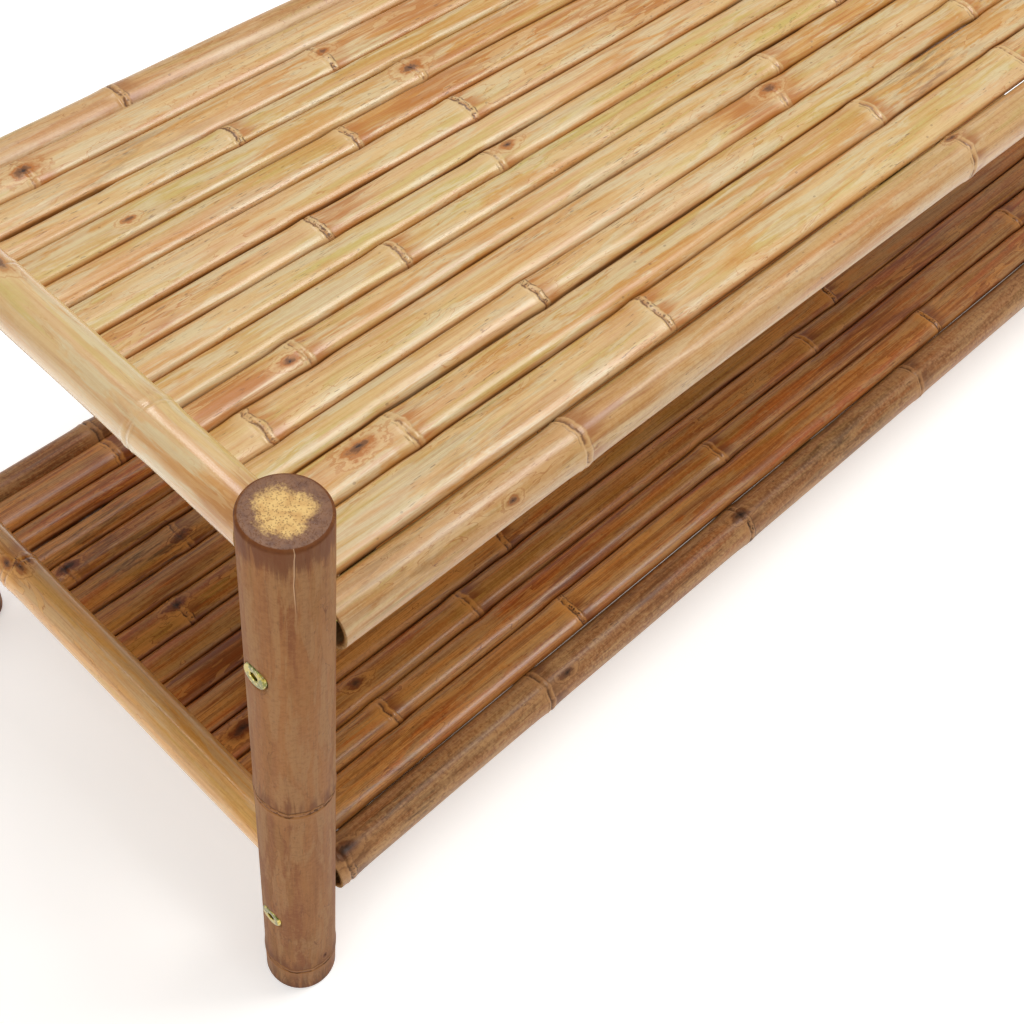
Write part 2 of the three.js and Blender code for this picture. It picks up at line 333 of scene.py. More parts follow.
class Graph:
    """Short names for building one material's node tree."""

    def __init__(self, name):
        self.material = bpy.data.materials.new(name)
        self.material.use_nodes = True
        self.tree = self.material.node_tree
        self.tree.nodes.clear()
        self.shader = self.node("BsdfPrincipled")
        self.node("OutputMaterial", {0: self.shader.outputs[0]})

    def node(self, kind, inputs=None, **settings):
        """A node with its settings, and what goes into its sockets by their name or number."""
        node = self.tree.nodes.new("ShaderNode" + kind)
        for name, value in settings.items():
            setattr(node, name, value)
        for socket, value in (inputs or {}).items():
            self.put(node.inputs[socket], value)
        return node

    def put(self, socket, value):
        if isinstance(value, bpy.types.NodeSocket):
            self.tree.links.new(value, socket)
        elif value is not None:
            socket.default_value = value

    def shade(self, values):
        """Sets the shader's sockets by their names."""
        for socket, value in values.items():
            self.put(self.shader.inputs[socket], value)

    def math(self, operation, a, b=None, c=None, clamp=False):
        inputs = {0: a, 1: b, 2: c}
        return self.node("Math", inputs, operation=operation, use_clamp=clamp).outputs[0]

    def plus(self, a, b, clamp=False):
        return self.math("ADD", a, b, clamp=clamp)

    def scaled(self, value, factor, offset):
        return self.math("MULTIPLY_ADD", value, factor, offset)

    def most(self, a, b):
        return self.math("MAXIMUM", a, b)

    def times(self, *values):
        product = values[0]
        for value in values[1:]:
            product = self.math("MULTIPLY", product, value)
        return product

    def attribute(self, name):
        return self.node("Attribute", attribute_name=name).outputs["Vector"]

    def split(self, vector):
        return self.node("SeparateXYZ", {0: vector}).outputs

    def stretched(self, vector, scale):
        return self.node("VectorMath", {0: vector, 1: scale}, operation="MULTIPLY").outputs[0]

    def noise(self, vector, scale, detail, roughness=0.5, distortion=0.0):
        settings = {"Scale": scale, "Detail": detail, "Roughness": roughness, "Distortion": distortion}
        return self.node("TexNoise", {"Vector": vector, **settings}).outputs[0]

    def cells(self, vector, scale):
        return self.node("TexVoronoi", {"Vector": vector, "Scale": scale}).outputs["Distance"]

    def step(self, value, low, high):
        """0 below low and 1 above high, smooth between; falls instead of rising if low > high."""
        ends = {"From Min": low, "From Max": high, "To Min": 0, "To Max": 1}
        if low > high:
            ends = {"From Min": high, "From Max": low, "To Min": 1, "To Max": 0}
        inputs = {"Value": value, **ends}
        return self.node("MapRange", inputs, interpolation_type="SMOOTHSTEP").outputs[0]

    def line(self, value, centre, width):
        """1 on the line where value is centre, 0 from width away."""
        away = self.math("ABSOLUTE", self.math("SUBTRACT", value, centre))
        return self.step(away, width, 0.0)

    def mix(self, factor, a, b):
        inputs = {"Factor": factor, 6: a, 7: b}
        return self.node("Mix", inputs, data_type="RGBA", clamp_factor=True).outputs[2]


class Skin(Graph):
    """A material that lays one colour over another, in patterns that follow a piece's grain."""

    def __init__(self, name, tones=None):
        super().__init__(name)
        self.tones = tones or {}
        self.grain = self.attribute("grain")
        self.colour = None

    def grained(self, along, across, detail, roughness=0.5, distortion=0.0):
        """Noise in cycles a metre along and across the fibres."""
        vector = self.stretched(self.grain, (along, across, across))
        return self.noise(vector, 1, detail, roughness, distortion)

    def lay(self, tone, *shares):
        """Covers the colour so far with a tone or colour, as far as the shares' product says."""
        self.colour = self.mix(self.times(*shares), self.colour, self.tones.get(tone, tone))

    def surface(self, roughness, relief, depth=0.0003, strength=0.6):
        """Gives the shader the colour so far, a roughness and a relief of a depth in metres."""
        bump = self.node("Bump", {"Strength": strength, "Distance": depth, "Height": relief})
        self.shade({"Base Color": self.colour, "Roughness": roughness, "Normal": bump.outputs[0]})


# ---- Bamboo skin ----


def skin_tone(g, brown, greenish, streaks, mottle):
    """The skin between its marks: one tone for most of a piece, slow drifts, warm and green
    places, patches of painted whitish sheen, long fibre streaks, and fine mottling where it is rubbed.
    Gives the patterns that the edges and the relief share."""
    whole = g.grained(0.9, 8, 1)
    slow = g.grained(3.2, 30, 2)
    drift = g.grained(9, 120, 4, 0.6, 0.4)
    patches = g.grained(6, 60, 4, 0.6, 0.5)
    warm_places = g.grained(7, 75, 4, 0.62, 0.6)
    rosy_places = g.grained(5, 85, 3, 0.55)
    bloom = g.grained(14, 110, 4, 0.68, 0.5)
    depth = g.plus(g.times(drift, 0.45), g.plus(g.times(slow, 0.35), g.times(whole, 0.7)))
    g.colour = g.mix(g.step(depth, 0.68, 0.82), g.tones["pale"], g.tones["deep"])
    g.lay("green", g.plus(g.times(g.step(patches, 0.48, 0.6), 0.6), greenish, clamp=True))
    g.lay("rosy", g.step(rosy_places, 0.5, 0.62), 0.6)
    g.lay("warm", g.step(g.plus(warm_places, g.times(brown, 0.12)), 0.52, 0.66), 0.7)
    # Painted sheen: whitish patches laid into the colour where the lacquer would reflect the light.
    g.lay("bloom", g.step(bloom, 0.48, 0.58), 0.7)

    fibres = g.grained(16, 1400, 3, 0.65)
    bands = g.grained(5, 380, 3, 0.6)
    fine = g.grained(80, 1100, 3, 0.6)
    g.lay("stain", g.step(bands, 0.5, 0.64), 0.55 * streaks)
    g.lay("pale", g.step(bands, 0.5, 0.36), 0.6 * streaks)
    g.lay("stain", g.step(fibres, 0.5, 0.66), 0.5 * streaks)
    g.lay("pale", g.step(fibres, 0.5, 0.34), 0.45 * streaks)
    g.lay("stain", g.step(fine, 0.52, 0.66), 0.35 * streaks)
    rubbed = g.grained(420, 380, 5, 0.75)
    # The same whitish tone marks rubbed places here, which is wear.
    g.lay("bloom", g.step(rubbed, 0.5, 0.62), mottle)
    g.lay("stain", g.step(rubbed, 0.5, 0.38), mottle)
    return patches, fibres, bands


def stain_clouds(g, distance, near, brown):
    """Stains gather where the tint says, and as a halo past each node. Here and there a drip of
    lacquer or sap has left a pale patch with a crooked outline."""
    cloud = g.grained(13, 240, 5, 0.7, 0.8)
    halo = g.times(g.step(distance, -1, 4), g.step(distance, 36, 6), near, 0.35)
    g.lay("stain", g.step(g.plus(cloud, g.times(g.plus(halo, brown), 0.34)), 0.6, 0.84), 0.8)
    figure = g.grained(24, 150, 2, 0.5, 1.4)
    some = g.step(g.grained(6, 45, 1), 0.46, 0.56)
    g.lay("pale", g.step(figure, 0.55, 0.57), some, 0.45)
    g.lay("stain", g.line(figure, 0.556, 0.013), some, 0.65)


def fleck_marks(g, amount):
    """Short dark dashes along the fibres, in loose groups, and a few pin holes."""
    dashes = g.grained(130, 1300, 2)
    sparse = g.grained(10, 80, 2)
    dash = g.times(g.step(dashes, 0.62, 0.7), g.step(sparse, 0.5, 0.6), 0.75 * amount)
    pin = g.times(g.step(g.cells(g.stretched(g.grain, (60, 90, 90)), 1), 0.08, 0.05), 0.5 * amount)
    return g.most(dash, pin)


def node_marks(g, distance, near, style):
    """A node of the culm: a pale collar between a crooked dark scar and a thinner second line,
    with the dots of old rootlets on some. No two nodes show the same share of each."""
    crook = g.scaled(g.grained(0, 70, 2), 9.0, -4.5)
    ragged = g.scaled(g.grained(60, 420, 4, 0.65), 2.6, -1.3)
    place = g.plus(g.plus(distance, crook), ragged)
    fading = g.grained(25, 190, 2)
    shown = g.times(near, g.scaled(g.step(style, 0.0, 0.2), 0.75, 0.25))
    g.lay("pale", g.step(place, -12, -1), g.step(place, 5.2, 3.0), shown, 0.6)
    past = g.times(g.step(place, 3.0, 5.0), g.step(place, 20, 5))
    g.lay("stain", past, g.step(fading, 0.35, 0.6), shown, 0.8)
    g.lay("stain", g.line(place, 0.8, 2.6), g.step(fading, 0.3, 0.6), shown, 0.6)

    first = g.times(g.line(place, 0.0, 1.1), g.step(fading, 0.34, 0.5), g.scaled(style, 0.55, 0.4))
    second = g.times(g.line(place, 4.2, 0.9), g.step(fading, 0.6, 0.44), g.step(style, 0.1, 0.9), 0.8)
    third = g.times(g.line(place, -2.8, 0.7), g.step(fading, 0.44, 0.58), g.step(style, 0.8, 0.2), 0.5)
    dots = g.step(g.grained(420, 620, 1), 0.52, 0.64)
    rootlets = g.times(g.line(place, 1.8, 2.4), dots, g.step(style, 0.6, 0.7), 0.9)
    scars = g.times(g.most(g.most(first, second), g.most(third, rootlets)), shown)
    g.lay("pale", g.line(place, -1.3, 1.0), shown, 0.6)
    g.lay("scar", scars)
    return scars


def knot_marks(g, near_knot):
    """The scar of a bud: a dark lopsided eye in a stained, swirled halo. Gives the eye."""
    knot_s, knot_t, knot_size = g.split(g.attribute("knot"))
    warp = g.grained(100, 170, 3, 0.6)
    warp_fine = g.grained(450, 800, 2, 0.6)
    along = g.math("DIVIDE", knot_s, g.times(knot_size, 2.0))
    across = g.math("DIVIDE", knot_t, knot_size)
    reach = g.math("SQRT", g.plus(g.times(along, along), g.times(across, across)))
    reach = g.plus(reach, g.scaled(warp, 3.4, -1.7))
    reach = g.plus(reach, g.scaled(warp_fine, 0.9, -0.45))
    # Half way between two knots the nearest one changes, so the pattern stops before that.
    reach = g.mix(near_knot, (9, 9, 9, 1), reach)
    near = g.step(reach, 5.0, 2.0)
    ripples = g.math("SINE", g.scaled(reach, 3.6, g.times(warp, 6)))
    eye = g.step(reach, 1.35, 0.5)
    g.lay("pale", near, g.step(reach, 1.0, 2.6), 0.6)
    g.lay("stain", near, g.step(ripples, 0.3, 0.95), 0.7)
    g.lay("stain", g.step(reach, 2.6, 1.2), 0.75)
    g.lay("scar", eye, 0.75)
    g.lay(srgb(44, 24, 14), g.step(reach, 0.35, -0.1))
    return eye


def crack_marks(g):
    """A drying crack: a pale line of lacquer with a dark lip. crack holds millimetres round the
    culm from the crack, and the crack's strength there."""
    offset, strength = g.split(g.attribute("crack"))[:2]
    g.lay(srgb(80, 46, 28), g.line(offset, 0.4, 0.4), strength, 0.6)
    g.lay(srgb(196, 158, 122), g.line(offset, 0.0, 0.42), strength, 0.85)


def edge_shade_and_grime(g, edge, worn, patches, bands):
    """Long edges are darker, in patches: painted shade for the slits between pieces. Worn places carry
    grey brown grime.
    """
    ragged = g.plus(edge, g.scaled(bands, 0.12, -0.06))
    patchy_edge_shade = g.scaled(g.step(patches, 0.42, 0.58), 0.5, 0.3)
    # Painted shade: the long edges darken in patches, standing in for the shadow in the slits between
    # neighbouring pieces.
    g.lay("stain", g.step(ragged, 0.8, 0.98), patchy_edge_shade)
    g.lay("scar", g.step(ragged, 0.93, 1.01), patchy_edge_shade)
    g.lay("scar", worn, g.step(g.grained(30, 260, 4, 0.7, 0.5), 0.44, 0.64))


def bamboo_skin(name, tones, gloss, streaks, flecks, mottle, coat, specular, cracked=False):
    """Lacquered bamboo. tones names its colours, gloss is its roughness, streaks, flecks and
    mottle say how much of each it has, and coat is the lacquer's weight and roughness."""
    g = Skin(name + "_skin", tones)
    distance, style, edge = g.split(g.attribute("ring"))
    node_away, knot_away = g.split(g.attribute("away"))[:2]
    brown, greenish, worn = g.split(g.attribute("tint"))
    # Half way between two nodes the signed distance flips, so a node's marks stop before that.
    near = g.step(node_away, 46, 36)

    patches, fibres, bands = skin_tone(g, brown, greenish, streaks, mottle)
    stain_clouds(g, distance, near, brown)
    fleck = fleck_marks(g, flecks)
    g.lay("scar", fleck, 0.8)
    scars = node_marks(g, distance, near, style)
    eye = knot_marks(g, g.step(knot_away, 50, 40))
    if cracked:
        crack_marks(g)
    edge_shade_and_grime(g, edge, worn, patches, bands)

    marks = g.most(scars, eye)
    rough = g.plus(g.scaled(patches, 0.25, gloss - 0.125), g.times(marks, 0.3), clamp=True)
    height = g.scaled(fibres, 0.45, g.times(bands, 0.6))
    height = g.scaled(g.grained(45, 220, 3, 0.55), 1.6, height)
    height = g.math("SUBTRACT", height, g.times(marks, 1.2))
    height = g.math("SUBTRACT", height, g.times(fleck, 0.6))
    g.surface(rough, height)
    g.shade({"Specular IOR Level": specular, "Coat Weight": coat[0], "Coat Roughness": coat[1]})
    return g.material


def end_grain(name, core, ring, dots, core_share):
    """A sawn end: pale fibrous core full of dark bundle dots, a ragged border and a dense rind.
    grain's two cross components are the place on the end; ring's third is the share of radius."""
    g = Skin(name)
    share = g.split(g.attribute("ring"))[2]
    flat = g.stretched(g.grain, (0, 1, 1))
    ragged = g.noise(flat, 620, 3, 0.65)
    lobes = g.noise(flat, 95, 2)
    border = g.plus(share, g.scaled(ragged, 0.44, -0.22))
    border = g.plus(border, g.scaled(lobes, 0.5, -0.25))
    outside = g.step(border, core_share - 0.14, core_share + 0.12)
    mottle = g.noise(flat, 240, 3, 0.6)
    bundle = g.step(g.cells(flat, 980), 0.45, 0.2)
    g.colour = g.mix(g.step(mottle, 0.35, 0.7), core, srgb(198, 154, 92))
    g.lay(dots, bundle, 0.5)
    rind = g.mix(g.step(mottle, 0.35, 0.75), ring, dots)
    g.colour = g.mix(outside, g.colour, rind)
    g.lay(dots, g.step(share, 0.86, 0.98), 0.65)
    g.surface(g.scaled(outside, -0.3, 0.75), g.math("SUBTRACT", mottle, g.times(bundle, 0.8)))
    return g.material


def zinc():
    """Yellow zinc plate: drifting yellow and green over bright metal, with rubbed spots."""
    g = Skin("yellow_zinc")
    tone = g.noise(g.grain, 160, 3, 0.6)
    g.colour = g.mix(g.step(tone, 0.42, 0.58), srgb(196, 176, 86), srgb(120, 122, 70))
    g.lay(srgb(220, 208, 168), g.step(g.noise(g.grain, 700, 3, 0.6), 0.54, 0.64), 0.6)
    g.surface(g.scaled(tone, 0.3, 0.08), tone, depth=0.0006)
    g.shade({"Metallic": 1.0})
    return g.material


def hollow_inside():
    """The raw inner wall of a culm: dry, dark straw with coarse fibres, darker at its edges."""
    g = Skin("raw_inner_wall")
    edge = g.split(g.attribute("ring"))[2]
    fibres = g.grained(14, 900, 4, 0.65)
    g.colour = g.mix(g.step(fibres, 0.35, 0.7), srgb(176, 134, 84), srgb(112, 76, 42))
    g.lay(srgb(78, 50, 28), g.step(g.grained(20, 90, 3, 0.6), 0.5, 0.75), 0.5)
    g.lay(srgb(206, 170, 116), g.step(g.grained(0.9, 8, 1), 0.42, 0.6), 0.5)
    g.lay(srgb(62, 38, 20), g.step(edge, 0.6, 1.0), 0.85)
    g.surface(0.85, fibres, depth=0.0005, strength=0.7)
    return g.material


def tones_of(**colours):
    return {name: srgb(*values) for name, values in colours.items()}


# The whitish tone that ends each list of tones is the colour of the painted sheen patches and of
# rubbed places.
SEAT_TONES = tones_of(
    pale=(212, 178, 124), deep=(192, 142, 68), green=(186, 168, 84),
    rosy=(204, 160, 118), warm=(194, 134, 54), stain=(172, 102, 28),
    scar=(84, 46, 18), bloom=(206, 192, 152),
)
RAIL_TONES = {**SEAT_TONES, **tones_of(deep=(200, 156, 92), stain=(178, 120, 58))}
LOWER_RAIL_TONES = {
    **SEAT_TONES,
    **tones_of(pale=(230, 172, 92), deep=(218, 150, 66), green=(202, 160, 78), bloom=(216, 182, 130)),
}
POLE_TONES = tones_of(
    pale=(200, 158, 104), deep=(180, 132, 70), green=(172, 148, 78),
    rosy=(190, 144, 92), warm=(184, 120, 50), stain=(150, 90, 34),
    scar=(78, 42, 18), bloom=(202, 174, 130),
)
SHELF_TONES = tones_of(
    pale=(208, 144, 72), deep=(172, 100, 36), green=(168, 126, 50),
    rosy=(186, 118, 60), warm=(188, 92, 24), stain=(120, 58, 16),
    scar=(50, 26, 12), bloom=(186, 144, 88),
)
SHELF_POLE_TONES = tones_of(
    pale=(176, 128, 80), deep=(150, 98, 54), green=(140, 108, 60),
    rosy=(168, 114, 66), warm=(164, 94, 38), stain=(104, 60, 28),
    scar=(50, 30, 16), bloom=(180, 140, 92),
)
LEG_TONES = tones_of(
    pale=(148, 98, 52), deep=(128, 78, 37), green=(134, 94, 49),
    rosy=(133, 85, 46), warm=(122, 68, 31), stain=(102, 57, 28),
    scar=(54, 30, 15), bloom=(152, 112, 70),
)
BATTEN_TONES = {**POLE_TONES, **tones_of(pale=(180, 136, 84), deep=(150, 104, 60))}
# Each skin's tones, its roughness, its share of streaks, flecks and mottle, the weight and
# roughness of its lacquer, its specular level, and whether it has a drying crack.
SKIN_LOOKS = {
    "leg": (LEG_TONES, 0.55, 0.22, 0.5, 0.26, (0.0, 0.4), 0.12, True),
    "upper_rail": (RAIL_TONES, 0.28, 0.3, 0.3, 0.06, (1.0, 0.2), 0.4),
    "lower_rail": (LOWER_RAIL_TONES, 0.34, 0.5, 0.3, 0.1, (0.7, 0.18), 0.4),
    "pole": (POLE_TONES, 0.4, 0.5, 0.9, 0.14, (0.35, 0.24), 0.4),
    "seat": (SEAT_TONES, 0.38, 0.5, 0.95, 0.07, (0.4, 0.22), 0.4),
    "shelf": (SHELF_TONES, 0.4, 0.8, 0.8, 0.2, (0.4, 0.22), 0.25),
    "shelf_pole": (SHELF_POLE_TONES, 0.5, 0.7, 1.0, 0.5, (0.2, 0.3), 0.2),
    "batten": (BATTEN_TONES, 0.6, 0.9, 0.7, 0.2, (0.0, 0.3), 0.4),
}
SKINS = {name: bamboo_skin(name, *look) for name, look in SKIN_LOOKS.items()}
LEG_END = end_grain("leg_end_grain", srgb(222, 184, 116), srgb(124, 82, 50), srgb(96, 56, 30), 0.55)
SLAT_END = end_grain("cut_end_grain", srgb(186, 144, 90), srgb(150, 106, 62), srgb(88, 54, 30), 0.7)
INSIDE = hollow_inside()
ZINC = zinc()


def finish_piece(piece, materials, slot, *nodes):
    for material in materials:
        piece.data.materials.append(material)
    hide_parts(*nodes)
    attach(piece, "root")


def assign_faces(piece, chooser):
    """Sets each face's material from its middle and normal, as arrays in millimetres."""
    count = len(piece.data.polygons)
    middles = np.empty(count * 3)
    normals = np.empty(count * 3)
    piece.data.polygons.foreach_get("center", middles)
    piece.data.polygons.foreach_get("normal", normals)
    chosen = chooser(middles.reshape(-1, 3) / MM, normals.reshape(-1, 3))
    piece.data.polygons.foreach_set("material_index", np.asarray(chosen, dtype=np.int32))


def cut(piece, cutter):
    """Subtracts cutter from piece and removes it."""
    modifier = piece.modifiers.new("cut", "BOOLEAN")
    modifier.operation = "DIFFERENCE"
    modifier.solver = "EXACT"
    modifier.object = cutter
    graph = bpy.context.evaluated_depsgraph_get()
    result = bpy.data.meshes.new_from_object(piece.evaluated_get(graph))
    piece.modifiers.clear()
    old = piece.data
    piece.data = result
    bpy.data.meshes.remove(old)
    bpy.data.objects.remove(cutter)


def box_mm(node):
    low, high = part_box(node)
    return np.array(low) / MM, np.array(high) / MM


def middle_height(node):
    low, high = box_mm(node)
    return (low[2] + high[2]) / 2


def bow(local, bend, reach, fading):
    """Bends a culm up and down by the bend curve, which fades out over its last stretch."""
    s = local[:, 0]
    local[:, 2] += bend(s) * (1 - smoothstep(np.abs(s), reach - fading, reach))


# ---- Legs ----

LEG_RING_HEIGHTS = (27, 232)


def leg_bores(outward, inward, deck_heights, rail_heights, leg_radius):
    """One cutter: the stepped bolt bores along X and the rail mortises along Y."""
    floor = leg_radius - COUNTERBORE_DEPTH
    past = 2 * leg_radius
    bore = [
        (-past, 0), (-past, BORE_RADIUS), (floor, BORE_RADIUS),
        (floor, COUNTERBORE_RADIUS), (past, COUNTERBORE_RADIUS), (past, 0),
    ]
    width = TENON_RADIUS + JOINT_GAP
    mortise = [(MORTISE_FLOOR, 0), (MORTISE_FLOOR, width), (past, width), (past, 0)]
    holes = [(bore, BORE_SIDES, outward, "X", height) for height in deck_heights]
    holes += [(mortise, MORTISE_SIDES, inward, "Y", height) for height in rail_heights]
    points, faces = np.empty((0, 3)), []
    for rows, sides, way, axis, height in holes:
        local, part = turned(rows, sides)
        local[:, 0] *= way
        faces += [tuple(len(points) + i for i in face) for face in part]
        points = np.concatenate([points, placed(local, axis, (0, 0, height))])
    return points, faces


def leg_rows(height, limit, seed):
    """Rows of a leg: flat sawn ends, rounded edges, and a skin with two low rings."""
    angle = around(LEG_SIDES)
    out_of_round = 0.12 * np.cos(2 * (angle - seed)) + 0.06 * np.cos(5 * (angle + seed))

    def radius_at(s):
        relief = ring_relief(node_distance([s], LEG_RING_HEIGHTS))[0]
        taper = limit - 0.45 - 0.5 * s / height
        return np.minimum(taper + out_of_round + 0.55 * relief, limit - 0.02)

    foot = radius_at(LEG_EASE)
    head = radius_at(height - LEG_EASE)
    turns = np.linspace(0, math.pi / 2, 6)[:-1]
    rounding = [(LEG_EASE * (1 - math.cos(t)), LEG_EASE * (1 - math.sin(t))) for t in turns]
    rows = [(0, 0), (0, limit * 0.35), (0, limit * 0.7), (0, limit - 0.35 - LEG_EASE)]
    rows += [(rise, foot - inset) for rise, inset in rounding]
    stations = stations_between(LEG_EASE, height - LEG_EASE, LEG_RING_HEIGHTS, 7)
    rows += [(s, radius_at(s)) for s in stations]
    rows += [(height - rise, head - inset) for rise, inset in reversed(rounding)]
    rim = head - LEG_EASE
    return rows + [(height, rim * share) for share in (0.85, 0.65, 0.45, 0.25, 0.1, 0)]


def paint_crack(piece, centre, crack_angle, height, radius, seed):
    """A crack that runs down from the leg's top and dies out."""
    s, a, b = unplaced(vertex_points(piece), "Z", centre).T
    turn = turn_from(a, b, crack_angle)
    offset = turn * radius + Wander(seed, 0.5, (40, 17, 9))(s)
    strength = smoothstep(s, height - CRACK_LENGTH, height - CRACK_LENGTH * 0.5)
    attribute(piece.data, "crack", offset, strength * (np.abs(turn) < 1))


def leg(node, seed, crack_angle):
    low, high = box_mm(node)
    centre = ((low[0] + high[0]) / 2, (low[1] + high[1]) / 2, 0)
    height = high[2]
    limit = (high[0] - low[0]) / 2
    local, faces = turned(leg_rows(height, limit, seed), LEG_SIDES)
    piece = mesh_object(node + "_culm", placed(local, "Z", centre), faces)
    outward = 1 if centre[0] > 0 else -1
    inward = -1 if centre[1] > 0 else 1
    deck_heights = [middle_height(name) for name in ("seat_front_pole", "shelf_front_pole")]
    rail_heights = [middle_height(name) for name in ("left_upper_rail", "left_lower_rail")]
    points, cutter_faces = leg_bores(outward, inward, deck_heights, rail_heights, limit)
    cut(piece, mesh_object("leg_cutter", points + np.array(centre), cutter_faces))

    def edge(s, a, b):
        """On the sawn ends, the share of the radius."""
        at_end = (s > height - LEG_EASE) | (s < LEG_EASE)
        return np.where(at_end, np.hypot(a, b) / limit, 0)

    knots = [(38, crack_angle + 0.6, 0.9)]
    stains = [(height, 15, 1.6, "brown"), (0, 12, 0.8, "brown"), (0, 25, 0.4, "worn")]
    paint(piece, "Z", centre, seed, LEG_RING_HEIGHTS, knots, stains, edge, girth=limit)
    paint_crack(piece, centre, crack_angle, height, limit, seed)

    def chooser(middles, normals):
        s, a, b = unplaced(middles, "Z", centre).T
        on_end = (np.abs(normals[:, 2]) > 0.97) & ((s > height - 1) | (s < 1))
        bored = (np.hypot(a, b) < limit - 1.2) & (s > LEG_EASE) & (s < height - LEG_EASE)
        return np.where(on_end, 1, np.where(bored, 2, 0))

    finish_piece(piece, [SKINS["leg"], LEG_END, INSIDE], "leg_bamboo", node)
    assign_faces(piece, chooser)


# ---- Round poles and rails ----


def culm_rows(stations, radius, nodes, seed, relief=1.0):
    """Rows of a round culm's skin: slightly oval, swelling at its nodes and slimmer between."""
    angle = around(CULM_SIDES)
    draw = np.random.default_rng(seed)
    oval = draw.uniform(0.1, 0.25) * np.cos(2 * (angle - draw.uniform(0, TAU)))
    flutes = 0.07 * np.cos(3 * (angle - draw.uniform(0, TAU))) + 0.05 * np.cos(7 * angle)
    waist = Wander(seed + 5, 0.25)
    body = radius - BODY_SLIMNESS + waist(stations)
    body = body + relief * ring_relief(node_distance(stations, nodes))
    return [(s, np.minimum(r + oval + flutes, radius)) for s, r in zip(stations, body)]


def pole(node, seed, skin, nodes, knots, stains):
    low, high = box_mm(node)
    centre = (low + high) / 2
    half = high[0] - centre[0]
    radius = (high[2] - low[2]) / 2
    nodes = [place - half for place in nodes]
    knots = [(place - half, where, size) for place, where, size in knots]
    stains = [(place - half, *rest) for place, *rest in stains]
    stations = stations_between(-half, half, nodes, 8)
    skin_rows = culm_rows(stations, radius, nodes, seed)
    inner = radius - POLE_WALL
    deep = half - POLE_HOLLOW_DEPTH
    grip = deep - POLE_GRIP_LENGTH
    inside = [
        (half - 0.5, inner + 0.4), (half - 1.5, inner), (half - 8, inner),
        (deep, inner), (deep, BORE_RADIUS), (grip, BORE_RADIUS), (grip, 0),
    ]
    rows = [(-s, r) for s, r in reversed(inside)]
    rows += [(-half, skin_rows[0][1] * 0.86), *skin_rows, (half, skin_rows[-1][1] * 0.86)]
    local, faces = turned(rows + inside, CULM_SIDES)
    bow(local, Wander(seed + 9, 0.5), half, 60)
    piece = mesh_object(node + "_culm", placed(local, "X", centre), faces)
    paint(piece, "X", centre, seed, nodes, knots, stains, girth=radius)

    def chooser(middles, normals):
        along = np.abs(middles[:, 0] - centre[0])
        reach = np.hypot(middles[:, 1] - centre[1], middles[:, 2] - centre[2])
        inside_wall = (reach < inner + 0.3) & (along < half - 0.2)
        on_face = along > half - 0.3
        return np.where(inside_wall, 2, np.where(on_face & (np.abs(normals[:, 0]) > 0.8), 1, 0))

    finish_piece(piece, [SKINS[skin], SLAT_END, INSIDE], "pole_bamboo", node)
    assign_faces(piece, chooser)


def rail(node, seed, skin, nodes, knots, stains, faint=()):
    """An end rail, its shoulders coped round the legs, with a turned tenon at each end."""
    low, high = box_mm(node)
    centre = (low + high) / 2
    radius = (high[2] - low[2]) / 2
    leg_low, leg_high = box_mm("front_left_leg")
    leg_radius = (leg_high[0] - leg_low[0]) / 2
    leg_distance = abs((leg_high[1] + leg_low[1]) / 2)
    reach = leg_distance - leg_radius
    tip = high[1] - centre[1]
    stations = stations_between(-reach, reach, nodes, 6)
    shaft = culm_rows(stations, radius, nodes, seed, relief=0.7)
    tenon = [(reach, TENON_RADIUS), (tip - 1, TENON_RADIUS), (tip, TENON_RADIUS - 1), (tip, 0)]
    rows = [(-s, r) for s, r in reversed(tenon)] + shaft + tenon
    local, faces = turned(rows, CULM_SIDES)
    # The shoulder follows the leg: each line of fibres runs on until it meets it.
    s, a, b = local.T
    outside = np.hypot(a, b) > TENON_RADIUS - 0.01
    sagitta = leg_radius - np.sqrt(np.maximum((leg_radius + JOINT_GAP) ** 2 - a**2, 0))
    near_end = smoothstep(np.abs(s), reach - 40, reach) * (np.abs(s) < reach + 0.01)
    local[:, 0] = s + np.sign(s) * np.where(outside, sagitta * near_end, 0)
    bow(local, Wander(seed + 9, 0.7, (520, 260, 140)), reach, 50)
    piece = mesh_object(node + "_culm", placed(local, "Y", centre), faces)
    paint(piece, "Y", centre, seed, nodes, knots, stains, girth=radius, faint=faint)
    finish_piece(piece, [SKINS[skin], SLAT_END], "rail_bamboo", node)

    def chooser(middles, _):
        across = np.hypot(middles[:, 0] - centre[0], middles[:, 2] - centre[2])
        return np.where(across < radius - 2.5, 1, 0)

    assign_faces(piece, chooser)


# ---- Slats ----

